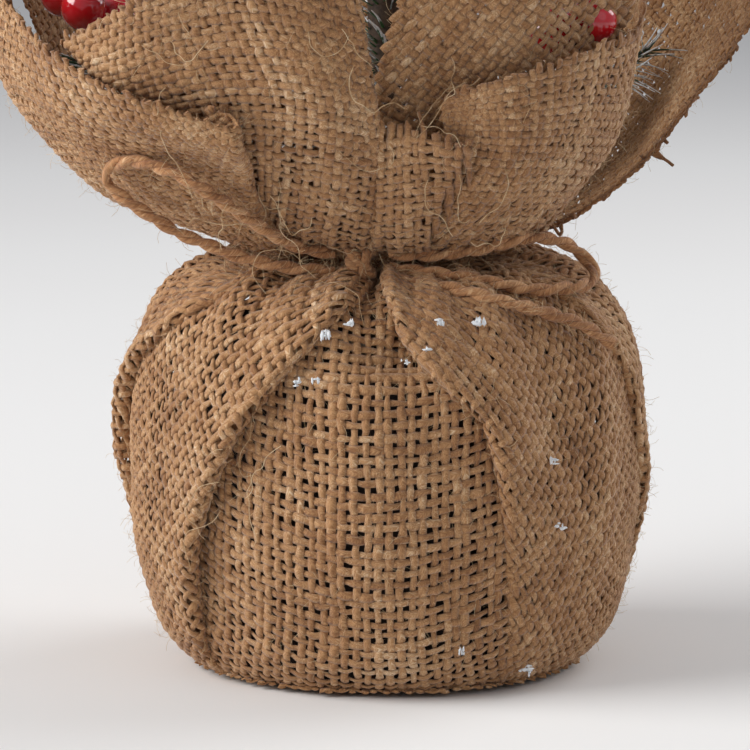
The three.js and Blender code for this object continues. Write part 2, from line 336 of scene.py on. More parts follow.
def yarn_tree():
    """Turns lines into closed yarns: an oval section that keeps its flat side to the cloth."""
    tree, given = new_tree("yarns_on_lines", [
        ("Width", "Float"), ("Thickness", "Float"), ("Sides", "Int"), ("Material", "Material")])
    curve = add(tree, "GeometryNodeMeshToCurve", {"Mesh": given["Geometry"]})
    outward = add(tree, "GeometryNodeInputNamedAttribute", {"Name": "outward"},
                  data_type="FLOAT_VECTOR")
    turned = add(tree, "GeometryNodeSetCurveNormal",
                 {"Curve": curve.outputs["Curve"], "Normal": outward.outputs["Attribute"]},
                 mode="FREE")
    place = add(tree, "GeometryNodeSplineParameter").outputs
    yarn, length = keep_value(tree, turned.outputs["Curve"], place["Length"], "Length")
    circle = add(tree, "GeometryNodeCurvePrimitiveCircle",
                 {"Resolution": given["Sides"], "Radius": 0.5})
    section, turn = keep_value(tree, circle.outputs["Curve"], place["Factor"], "Turn")
    size = add(tree, "ShaderNodeCombineXYZ", {"X": given["Thickness"], "Y": given["Width"]})
    oval = add(tree, "GeometryNodeTransform", {"Geometry": section, "Scale": size.outputs[0]})
    thick = add(tree, "GeometryNodeInputNamedAttribute", {"Name": "thick"}, data_type="FLOAT")
    body = add(tree, "GeometryNodeCurveToMesh",
               {"Curve": yarn, "Profile Curve": oval.outputs["Geometry"],
                "Scale": thick.outputs["Attribute"], "Fill Caps": True})
    uv = add(tree, "ShaderNodeCombineXYZ", {"X": turn, "Y": length})
    stored = add(tree, "GeometryNodeStoreNamedAttribute",
                 {"Geometry": body.outputs["Mesh"], "Name": "thread", "Value": uv.outputs[0]},
                 data_type="FLOAT2", domain="CORNER")
    return close_tree(tree, stored.outputs["Geometry"], given["Material"])


def fibre_tree():
    """Loose fibres: short bent hairs that lift off a surface at random places."""
    tree, given = new_tree("fibres_on_surface", [
        ("Density", "Float"), ("Length", "Float"), ("Width", "Float"), ("Seed", "Int"),
        ("Material", "Material")])
    where = add(tree, "ShaderNodeSeparateXYZ",
                {"Vector": add(tree, "GeometryNodeInputPosition").outputs["Position"]})
    off_table = add(tree, "ShaderNodeMath", {0: where.outputs["Z"], 1: 5 * MM},
                    operation="GREATER_THAN")
    spots = add(tree, "GeometryNodeDistributePointsOnFaces",
                {"Mesh": given["Geometry"], "Selection": off_table.outputs[0],
                 "Density": given["Density"], "Seed": given["Seed"]})
    bend = add(tree, "GeometryNodeCurveQuadraticBezier",
               {"Resolution": 3, "Start": (0, 0, 0), "Middle": (0.45, 0.0, 0.42),
                "End": (1.0, 0.25, 0.16)})
    ring = add(tree, "GeometryNodeCurvePrimitiveCircle", {"Resolution": 3, "Radius": 0.5})
    thin = add(tree, "ShaderNodeMath", {0: given["Width"], 1: given["Length"]},
               operation="DIVIDE")
    body = add(tree, "GeometryNodeCurveToMesh",
               {"Curve": bend.outputs["Curve"], "Profile Curve": ring.outputs["Curve"],
                "Scale": thin.outputs[0], "Fill Caps": True})
    spin = add(tree, "FunctionNodeRandomValue",
               {"Min": (-0.5, -0.5, 0.0), "Max": (0.5, 0.5, 6.283), "Seed": given["Seed"]},
               data_type="FLOAT_VECTOR")
    spin_turn = add(tree, "FunctionNodeEulerToRotation", {"Euler": spin.outputs["Value"]})
    turned = add(tree, "FunctionNodeRotateRotation",
                 {"Rotation": spots.outputs["Rotation"], "Rotate By": spin_turn.outputs[0]},
                 rotation_space="LOCAL")
    share = add(tree, "FunctionNodeRandomValue",
                {2: 0.25, 3: 1.0, "Seed": given["Seed"]}, data_type="FLOAT")
    size = add(tree, "ShaderNodeMath", {0: share.outputs[1], 1: given["Length"]},
               operation="MULTIPLY")
    placed = add(tree, "GeometryNodeInstanceOnPoints",
                 {"Points": spots.outputs["Points"], "Instance": body.outputs["Mesh"],
                  "Rotation": turned.outputs["Rotation"], "Scale": size.outputs[0]})
    return close_tree(tree, placed.outputs["Instances"], given["Material"])


def needle_tree():
    """Wound wire twigs with flat PVC needles standing out all round, leaning to the tip."""
    tree, given = new_tree("needles_on_twigs", [
        ("Spacing", "Float"), ("Needle length", "Float"), ("Needle width", "Float"),
        ("Lean", "Float"), ("Wire", "Float"), ("Seed", "Int")])
    curve = add(tree, "GeometryNodeMeshToCurve", {"Mesh": given["Geometry"]})
    ring = add(tree, "GeometryNodeCurvePrimitiveCircle", {"Resolution": 5, "Radius": 0.5})
    wire = add(tree, "GeometryNodeCurveToMesh",
               {"Curve": curve.outputs["Curve"], "Profile Curve": ring.outputs["Curve"],
                "Scale": given["Wire"], "Fill Caps": True})
    wound = add(tree, "GeometryNodeSetMaterial",
                {"Geometry": wire.outputs["Mesh"], "Material": TWIG_WRAP})
    bend = add(tree, "GeometryNodeCurveQuadraticBezier",
               {"Resolution": 2, "Start": (0, 0, 0), "Middle": (0, 0.09, 0.5), "End": (0, 0, 1)})
    place = add(tree, "GeometryNodeSplineParameter").outputs["Factor"]
    blade, tip = keep_value(tree, bend.outputs["Curve"], place, "Tip")
    flat = add(tree, "GeometryNodeCurvePrimitiveCircle", {"Resolution": 3, "Radius": 0.5})
    narrow = add(tree, "GeometryNodeTransform",
                 {"Geometry": flat.outputs["Curve"], "Scale": (1, 0.35, 1)})
    taper = add(tree, "ShaderNodeMapRange", {"Value": tip, "To Min": 1.0, "To Max": 0.3})
    share = add(tree, "ShaderNodeMath",
                {0: given["Needle width"], 1: given["Needle length"]}, operation="DIVIDE")
    width = add(tree, "ShaderNodeMath", {0: taper.outputs[0], 1: share.outputs[0]},
                operation="MULTIPLY")
    needle = add(tree, "GeometryNodeCurveToMesh",
                 {"Curve": blade, "Profile Curve": narrow.outputs["Geometry"],
                  "Scale": width.outputs[0], "Fill Caps": True})
    marked = add(tree, "GeometryNodeStoreNamedAttribute",
                 {"Geometry": needle.outputs["Mesh"], "Name": "tip", "Value": tip},
                 data_type="FLOAT", domain="POINT")
    green = add(tree, "GeometryNodeSetMaterial",
                {"Geometry": marked.outputs["Geometry"], "Material": NEEDLE})
    spots = add(tree, "GeometryNodeCurveToPoints",
                {"Curve": curve.outputs["Curve"], "Length": given["Spacing"]}, mode="LENGTH")
    tone = add(tree, "FunctionNodeRandomValue", {"Seed": given["Seed"]}, data_type="FLOAT")
    toned = add(tree, "GeometryNodeStoreNamedAttribute",
                {"Geometry": spots.outputs["Points"], "Name": "shade",
                 "Value": tone.outputs[1]}, data_type="FLOAT", domain="POINT")
    spin = add(tree, "FunctionNodeRandomValue",
               {2: 0.0, 3: 6.283, "Seed": given["Seed"]}, data_type="FLOAT")
    wobble = add(tree, "FunctionNodeRandomValue",
                 {2: -0.25, 3: 0.25, "Seed": given["Seed"]}, data_type="FLOAT")
    lean = add(tree, "ShaderNodeMath", {0: given["Lean"], 1: wobble.outputs[1]},
               operation="ADD")
    turn = add(tree, "ShaderNodeCombineXYZ",
               {"X": lean.outputs[0], "Z": spin.outputs[1]})
    local = add(tree, "FunctionNodeEulerToRotation", {"Euler": turn.outputs[0]})
    turned = add(tree, "FunctionNodeRotateRotation",
                 {"Rotation": spots.outputs["Rotation"], "Rotate By": local.outputs[0]},
                 rotation_space="LOCAL")
    long = add(tree, "FunctionNodeRandomValue",
               {2: 0.7, 3: 1.08, "Seed": given["Seed"]}, data_type="FLOAT")
    size = add(tree, "ShaderNodeMath",
               {0: long.outputs[1], 1: given["Needle length"]}, operation="MULTIPLY")
    placed = add(tree, "GeometryNodeInstanceOnPoints",
                 {"Points": toned.outputs["Geometry"], "Instance": green.outputs["Geometry"],
                  "Rotation": turned.outputs["Rotation"], "Scale": size.outputs[0]})
    both = add(tree, "GeometryNodeJoinGeometry", {"Geometry": wound.outputs["Geometry"]})
    tree.links.new(placed.outputs["Instances"], both.inputs["Geometry"])
    return close_tree(tree, both.outputs["Geometry"])


def flock_tree():
    """Keeps the needles and adds white flock crumbs near their tips."""
    tree, given = new_tree("flock_on_needles", [
        ("Density", "Float"), ("Crumb", "Float"), ("Seed", "Int")])
    tip = add(tree, "GeometryNodeInputNamedAttribute", {"Name": "tip"}, data_type="FLOAT")
    outer = add(tree, "ShaderNodeMath", {0: tip.outputs["Attribute"], 1: 0.6},
                operation="GREATER_THAN")
    spots = add(tree, "GeometryNodeDistributePointsOnFaces",
                {"Mesh": given["Geometry"], "Selection": outer.outputs[0],
                 "Density": given["Density"], "Seed": given["Seed"]})
    crumb = add(tree, "GeometryNodeMeshIcoSphere", {"Radius": 0.5, "Subdivisions": 1})
    size = add(tree, "FunctionNodeRandomValue",
               {"Min": (0.4, 0.4, 0.4), "Max": (1.3, 1.3, 1.0), "Seed": given["Seed"]},
               data_type="FLOAT_VECTOR")
    grown_size = add(tree, "ShaderNodeVectorMath",
                     {0: size.outputs["Value"], "Scale": given["Crumb"]}, operation="SCALE")
    placed = add(tree, "GeometryNodeInstanceOnPoints",
                 {"Points": spots.outputs["Points"], "Instance": crumb.outputs["Mesh"],
                  "Rotation": spots.outputs["Rotation"], "Scale": grown_size.outputs[0]})
    white = add(tree, "GeometryNodeSetMaterial",
                {"Geometry": placed.outputs["Instances"], "Material": SNOW_FLOCK})
    both = add(tree, "GeometryNodeJoinGeometry", {"Geometry": given["Geometry"]})
    tree.links.new(white.outputs["Geometry"], both.inputs["Geometry"])
    return close_tree(tree, both.outputs["Geometry"])


YARNS = yarn_tree()
FIBRES = fibre_tree()
NEEDLES = needle_tree()
FLOCK = flock_tree()


def grown(name, mesh, tree, **values):
    """Runs a Geometry Nodes tree on a mesh, and returns the result as a plain mesh piece."""
    start = link(bpy.data.objects.new(name + "_start", mesh))
    modifier = start.modifiers.new("grow", "NODES")
    modifier.node_group = tree
    for socket in tree.interface.items_tree:
        key = socket.name.replace(" ", "_")
        if socket.in_out == "INPUT" and key in values:
            modifier[socket.identifier] = values[key]
    bpy.context.view_layer.update()
    view = bpy.context.evaluated_depsgraph_get()
    made = bpy.data.meshes.new_from_object(
        start.evaluated_get(view), preserve_all_data_layers=True, depsgraph=view)
    bpy.data.objects.remove(start)
    made.name = name
    return link(bpy.data.objects.new(name, made))


def lines_mesh(name, points, sizes, **values):
    """A mesh of separate lines, in metres, with the named values kept at its points."""
    mesh = bpy.data.meshes.new(name)
    mesh.vertices.add(len(points))
    mesh.vertices.foreach_set("co", np.asarray(points, np.float32).ravel())
    first = np.arange(len(points) - 1)
    first = first[~np.isin(first, np.cumsum(sizes)[:-1] - 1)]
    mesh.edges.add(len(first))
    mesh.edges.foreach_set("vertices", np.stack([first, first + 1], 1).astype(np.int32).ravel())
    for label, value in values.items():
        value = np.asarray(value, np.float32)
        if value.ndim == 2:
            mesh.attributes.new(label, "FLOAT_VECTOR", "POINT").data.foreach_set(
                "vector", value.ravel())
        else:
            mesh.attributes.new(label, "FLOAT", "POINT").data.foreach_set("value", value)
    return mesh


def ride_base(piece, slot, *nodes):
    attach(piece, "base")
    if nodes:
        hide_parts(*nodes)
    return piece


# ---- Weaving ----

def stretches(keep, shortest=5):
    """The row, start and end of each unbroken stretch along the rows of a mask."""
    change = np.diff(np.pad(keep, ((0, 0), (1, 1))).astype(np.int8), axis=1)
    rows, starts = np.nonzero(change == 1)
    ends = np.nonzero(change == -1)[1]
    long_enough = ends - starts >= shortest
    return rows[long_enough], starts[long_enough], ends[long_enough]


def woven(name, lay, reach, seed, turn=0.0, level_yarns=None, fray=0.4, pitch=PITCH, samples=3):
    """One panel of plain weave. lay(x, y) puts flat cloth, in millimetres, where the panel is: it
    returns points, outward directions, whether cloth is there, and how far inside its cut edge.
    reach is the flat panel's (low x, high x, low y, high y), turn the weave's angle in degrees and
    samples the points on a yarn from one crossing to the next."""
    rng = np.random.default_rng(seed)
    c, s = math.cos(math.radians(turn)), math.sin(math.radians(turn))
    corners = np.array([(x, y) for x in reach[:2] for y in reach[2:]])
    lattice = np.stack([corners @ (c, s), corners @ (-s, c)])
    low, high = lattice.min(axis=1), lattice.max(axis=1)
    lines, sizes, thick, shade, outward = [], [], [], [], []
    flat = []
    for family in (0, 1):
        across, down = (0, 1) if family == 0 else (1, 0)
        number = np.arange(math.floor(low[across] / pitch), math.ceil(high[across] / pitch) + 1)
        number = number[:, None]
        run = np.arange(low[down], high[down], pitch / samples)[None, :]
        phase = rng.uniform(0, 2 * math.pi, (6, len(number), 1))
        wander = 0.09 * pitch * (np.sin(run / 14 + phase[0]) + np.sin(run / 5.7 + phase[1]))
        wander = wander + pitch * rng.normal(0, 0.06, number.shape)
        uneven = rng.normal(0, 1, (2, len(number), run.shape[1]))
        uneven = (uneven + np.roll(uneven, 1, 2)) / 2
        wander = wander + 0.05 * pitch * uneven[0]
        sideways = number * pitch + wander
        crimp = CRIMP * np.cos(math.pi * (run / pitch + number)) * (1 if family == 0 else -1)
        u, v = (sideways, run + 0 * sideways) if family == 0 else (run + 0 * sideways, sideways)
        x, y = u * c - v * s, u * s + v * c
        points, normals, there, inside = lay(x, y)
        stick_out = rng.gamma(1.0, fray, number.shape)
        if level_yarns == family:
            stick_out = -rng.uniform(0.4, 1.6, number.shape)
        keep = there & (inside > -stick_out)
        loose = np.maximum(-inside, 0)[..., None]
        stray = rng.normal(0, 0.32, (len(number), 1, 3)) * loose
        points = points + normals * crimp[..., None] + stray
        width = (1 + 0.13 * np.sin(run / 4.1 + phase[2]) + 0.10 * np.sin(run / 1.9 + phase[3])
                 + rng.normal(0, 0.09, number.shape) + 0.09 * uneven[1])
        width = np.clip(width - 0.25 * loose[..., 0], 0.45, 1.5)
        tone = np.clip(0.5 + rng.normal(0, 0.15, number.shape) + 0.08 * uneven[0]
                       + 0.12 * np.sin(run / 8.3 + phase[4])
                       - 0.5 * np.exp(-np.maximum(inside, 0) / 1.3), 0, 1)
        for row, start, end in zip(*stretches(keep)):
            part = slice(start, end)
            lines.append(points[row, part])
            outward.append(normals[row, part])
            thick.append(width[row, part])
            shade.append(tone[row, part])
            sizes.append(end - start)
            if family == 0:
                flat.append(np.stack([x[row, part], y[row, part]], 1))
    flat = np.concatenate(flat)
    cut = (np.ptp(flat, axis=0) * MM).tolist()
    area = len(flat) * pitch ** 2 / samples * MM ** 2 * GATHERED
    cut = [side * math.sqrt(GATHERED) for side in cut]
    area = min(max(area, 0.31 * cut[0] * cut[1]), cut[0] * cut[1])
    mesh = lines_mesh(name, np.concatenate(lines) * MM, sizes, outward=np.concatenate(outward),
                      thick=np.concatenate(thick), shade=np.concatenate(shade))
    piece = grown(name, mesh, YARNS, Width=YARN_WIDTH * MM, Thickness=YARN_THICKNESS * MM,
                  Sides=5, Material=BURLAP_YARN)
    return piece, cut, area


# ---- The bag: burlap leaves gathered round the pot, each lapped by its neighbours ----

BAG_OUTLINE = [
    (0, 1.2), (30, 1.2), (40, 1.3), (45.5, 4.5), (50, 12), (53.8, 28), (54.8, 46), (53, 66),
    (49.8, 76.5), (44, 83.3), (37, 86.8), (29, 88), (23.3, 90.2),
]
bag_line = smooth_line(BAG_OUTLINE, 8)
bag_run = along(bag_line)
bag_slope = unit(np.gradient(bag_line, axis=0))

# Where one leaf laps the next: bearings in degrees from the front, by height.
LAP_LEFT = [(0, -57), (20, -51), (40, -44), (57, -35), (70, -25), (80, -15), (86, -9), (91, -6)]
LAP_RIGHT = [(0, 36), (20, 32), (47, 27), (60, 23), (69, 12), (76, 6), (84, 2), (91, 0)]
LAP_FAR_LEFT = [(0, -106), (30, -101), (48, -94), (60, -86), (68, -77), (74, -66), (80, -56),
                (86, -46), (91, -40)]
LAP_FAR_RIGHT = [(0, 97), (20, 92), (42, 82), (55, 76), (66, 70), (75, 62), (84, 52), (91, 46)]
LAP_REAR_LEFT = [(0, -148), (45, -152), (75, -157), (91, -165)]
LAP_REAR_RIGHT = [(0, 146), (45, 152), (75, 158), (91, 165)]
FOLD_RADIUS = 1.5
HIDDEN = 6.0  # how much of a turned-under edge is modelled
GATHER_FROM, GATHER_TO = 62, 88  # heights between which the gathers deepen towards the twine
UNDERSIDE_RADIUS = 43  # the leaves start a little inside it
NO_EDGE = 99  # far from any cut edge
CLOTH_REACH = 157  # how far the flat cloth is woven on each side of the pot's middle


def moved(line, by):
    return [(height, bearing + by) for height, bearing in line]


def read(line, height):
    return np.interp(height, [p[0] for p in line], [p[1] for p in line])


def fold_under(beyond, radius):
    """For a point this far past a folded edge: its way along the surface, its drop and its turn."""
    angle = np.clip(beyond / radius, 0, math.pi)
    back = np.maximum(beyond - math.pi * radius, 0)
    return radius * np.sin(angle) - back, radius * (1 - np.cos(angle)), angle


def bag_leaf(bearing, cloth, low, high, level, proud=((0, 0), (91, 0)), squeeze=1.0, dents=()):
    """Lays one leaf of the bag. low and high are its two edges as (folded or not, line)."""
    def lay(x, y):
        reach = np.hypot(x, y)
        across = np.arctan2(x, y)
        radius = np.interp(reach, bag_run, bag_line[:, 0])
        height = np.interp(reach, bag_run, bag_line[:, 1])
        slope_r = np.interp(reach, bag_run, bag_slope[:, 0])
        slope_z = np.interp(reach, bag_run, bag_slope[:, 1])
        angle = np.degrees(across * reach / np.maximum(radius, 1) * squeeze) + bearing
        there = (reach > UNDERSIDE_RADIUS - 2) & (reach < bag_run[-1]) & (np.abs(across) < 2.6)
        pushed = level + 0 * radius
        drop, turn, side = 0 * radius, 0 * radius, 0 * radius
        for sign, (folded, line) in ((-1, low), (1, high)):
            edge = read(line, height)
            beyond = np.radians((angle - edge) * sign) * radius
            if folded:
                pushed = pushed + read(proud, height) * np.exp(-np.abs(beyond) / 13)
                forward, down, bend = fold_under(beyond, FOLD_RADIUS)
                over = beyond > 0
                angle = np.where(over, edge + sign * np.degrees(forward / radius), angle)
                drop = np.where(over, down, drop)
                turn = np.where(over, bend, turn)
                side = np.where(over, sign, side)
                there &= beyond < math.pi * FOLD_RADIUS + HIDDEN
            else:
                there &= beyond < 0
        for at, up, wide, tall, amount in dents:
            pushed = pushed + amount * np.exp(-((angle - at) / wide) ** 2
                                              - ((height - up) / tall) ** 2)
        ripple = np.clip((height - GATHER_FROM) / (GATHER_TO - GATHER_FROM), 0, 1) ** 1.5
        turns = np.radians(angle)
        pushed = pushed + ripple * (0.9 * np.cos(24 * turns + 1.2 * np.sin(3 * turns))
                                    + 0.6 * np.cos(15 * turns + 0.06 * height))
        pushed = pushed + 0.45 * np.sin(height / 7 + 5 * turns) * np.cos(6 * turns - height / 11)
        settle = np.clip(height / 12, 0, 1)
        pushed = pushed * settle - drop * settle
        out = np.stack([slope_z * np.sin(turns), -slope_z * np.cos(turns), -slope_r], -1)
        tangent = np.stack([np.cos(turns), np.sin(turns), 0 * turns], -1)
        place = np.stack([radius * np.sin(turns), -radius * np.cos(turns), height], -1)
        facing = out * np.cos(turn)[..., None] + tangent * (side * np.sin(turn))[..., None]
        return place + out * pushed[..., None], facing, there, NO_EDGE + 0 * radius

    def turned_lay(x, y):
        c, s = math.cos(math.radians(cloth)), math.sin(math.radians(cloth))
        return lay(x * c - y * s, x * s + y * c)

    return turned_lay


BAG_LEAVES = {
    "burlap_bag_front": dict(
        bearing=-2, cloth=0, low=(False, moved(LAP_LEFT, -9)), high=(False, moved(LAP_RIGHT, 9)),
        level=-2.0, dents=[(3, 75, 9, 6, -4.0), (-6, 50, 12, 30, 1.2)]),
    "burlap_bag_left": dict(
        bearing=-60, cloth=-58, low=(False, moved(LAP_FAR_LEFT, -8)), high=(True, LAP_LEFT),
        level=0.4, proud=[(0, 0), (12, 1.4), (30, 3.4), (52, 3.4), (70, 2.4), (84, 1), (91, 0)],
        squeeze=0.8),
    "burlap_bag_right": dict(
        bearing=50, cloth=53, low=(True, LAP_RIGHT), high=(False, moved(LAP_FAR_RIGHT, 8)),
        level=0.2, proud=[(0, -1.5), (30, -1.5), (42, 0.8), (58, 2.8), (72, 2.8), (84, 1.4),
                          (91, 0)],
        squeeze=0.66, dents=[(55, 50, 6, 30, 1.4), (38, 62, 6, 12, -1.2)]),
    "burlap_bag_far_left": dict(
        bearing=-122, cloth=-104, low=(True, LAP_REAR_LEFT), high=(True, LAP_FAR_LEFT),
        level=0.6, proud=[(0, 0), (25, 1), (45, 4.2), (60, 4.4), (70, 3), (80, 1.5), (91, 0)],
        squeeze=0.8),
    "burlap_bag_far_right": dict(
        bearing=115, cloth=112, low=(True, LAP_FAR_RIGHT), high=(True, LAP_REAR_RIGHT),
        level=0.4, proud=[(0, 0), (20, 0.5), (42, 2), (60, 2.4), (72, 2), (84, 1), (91, 0)],
        squeeze=0.8),
    "burlap_bag_rear": dict(
        bearing=180, cloth=180, low=(False, moved(LAP_REAR_RIGHT, -9)),
        high=(False, [(height, 360 + bearing + 9) for height, bearing in LAP_REAR_LEFT]),
        level=-1.8),
}


def lay_underside(x, y):
    """The flat middle of the cloth, under the pot."""
    reach = np.hypot(x, y)
    down = np.stack([0 * x, 0 * x, -1 + 0 * x], -1)
    return np.stack([x, -y, 1.25 + 0 * x], -1), down, reach < UNDERSIDE_RADIUS, NO_EDGE + 0 * x


def weave_bag():
    """The bag's leaves and its underside. They are one cloth, kept as separate sheets."""
    reach = (-CLOTH_REACH, CLOTH_REACH, -CLOTH_REACH, CLOTH_REACH)
    pieces = []
    for seed, (name, leaf) in enumerate(BAG_LEAVES.items()):
        samples = 2 if seed > 2 else 3
        pieces.append(woven(name, bag_leaf(**leaf), reach, 20 + seed, samples=samples))
    pieces.append(woven("burlap_bag_underside", lay_underside, (-44, 44, -44, 44), 30, samples=2))
    for piece, cut, area in pieces:
        ride_base(piece, "jute_burlap", "burlap_bag")
    return [piece for piece, cut, area in pieces]


# ---- The collar: loose corners of the cloth that flare out above the twine ----

def grid_point(net, across, up):
    """A smooth surface through a net of given points; across and up run from 0 to 1."""
    rows, columns = net.shape[:2]
    for axis in (0, 1):
        first = np.take(net, [0], axis) * 2 - np.take(net, [1], axis)
        last = np.take(net, [-1], axis) * 2 - np.take(net, [-2], axis)
        net = np.concatenate([first, net, last], axis)

    def weights(value, count):
        place = np.clip(value, 0, 1) * (count - 1)
        cell = np.minimum(place.astype(int), count - 2)
        t = place - cell
        return cell, 0.5 * np.stack([-t + 2 * t ** 2 - t ** 3, 2 - 5 * t ** 2 + 3 * t ** 3,
                                     t + 4 * t ** 2 - 3 * t ** 3, -t ** 2 + t ** 3])
    column, wide = weights(across, columns)
    row, tall = weights(up, rows)
    total = 0
    for i in range(4):
        for j in range(4):
            total = total + (tall[i] * wide[j])[..., None] * net[row + i, column + j]
    return total


def petal(points, fold_low=False, fold_high=False, edge_cut=(), waves=0.8):
    """Lays one petal of the collar. points is a net from the twine up to the cut rim, each row
    running left to right as seen from outside. edge_cut names the sides that are cut too."""
    net = np.array(points, float)
    steps = np.linspace(0, 1, 41)
    middle = grid_point(net, 0.5 + 0 * steps, steps)
    height_run = along(middle)
    fine = grid_point(net, *np.meshgrid(steps, steps))
    row_width = np.linalg.norm(np.diff(fine, axis=1), axis=2).sum(axis=1)

    def lay(x, y):
        up = np.interp(y, height_run, steps)
        width = np.interp(up, steps, row_width)
        across = 0.5 + x / width
        little = 0.004
        inside_up = np.clip(up, little, 1 - little)
        inside_across = np.clip(across, little, 1 - little)
        base = grid_point(net, np.clip(across, 0, 1), up)
        to_right = unit(grid_point(net, inside_across + little, up)
                        - grid_point(net, inside_across - little, up))
        to_rim = unit(grid_point(net, np.clip(across, 0, 1), inside_up + little)
                      - grid_point(net, np.clip(across, 0, 1), inside_up - little))
        out = unit(np.cross(to_right, to_rim))
        past_rim = y - height_run[-1]
        base = base + to_rim * np.maximum(past_rim, 0)[..., None]
        near_tie = np.exp(-y / 13)
        push = near_tie * 1.2 * np.cos(x * 1.15 + 0.6 * np.sin(y / 9))
        push = push + waves * np.sin(x / 8.5 + y / 17) * np.cos(y / 12 - x / 23)
        there = (y > 0) & (past_rim < 9)
        inside = -past_rim
        facing = out
        for sign, folded, name in ((-1, fold_low, "low"), (1, fold_high, "high")):
            beyond = (across - 0.5) * sign * width - width / 2
            over = (beyond > 0)[..., None]
            if folded:
                forward, down, bend = fold_under(beyond, FOLD_RADIUS)
                rolled = base + to_right * (sign * forward)[..., None] - out * down[..., None]
                turned = out * np.cos(bend)[..., None] + to_right * (sign * np.sin(bend))[..., None]
                base = np.where(over, rolled, base)
                facing = np.where(over, turned, facing)
                there &= beyond < math.pi * FOLD_RADIUS + HIDDEN
            elif name in edge_cut:
                inside = np.minimum(inside, -beyond)
                base = np.where(over, base + to_right * (sign * beyond)[..., None], base)
                there &= beyond < 9
            else:
                there &= beyond < 0
        return base + out * push[..., None], facing, there, inside

    reach = (-row_width.max() / 2 - 12, row_width.max() / 2 + 12, 0, height_run[-1] + 9)
    return lay, reach


FRONT_PETAL = [
    [(-20, -14, 91), (-15, -19, 91), (-10, -22, 91), (-5, -24, 91)],
    [(-27, -29, 95.5), (-20, -33, 96.5), (-12, -37, 97), (-4, -37, 96.5)],
    [(-32, -40, 109), (-23, -46, 111), (-12, -51, 112), (-2.5, -48, 112)],
    [(-43, -51, 123), (-29, -57, 127), (-14, -60.5, 128), (-3.5, -55, 127)],
    [(-57, -52, 130.5), (-40, -60, 139), (-22, -66, 144), (-6, -61, 142)],
    [(-66, -46.5, 137.5), (-46, -65, 150), (-28, -72, 161), (-9, -67, 161)],
]

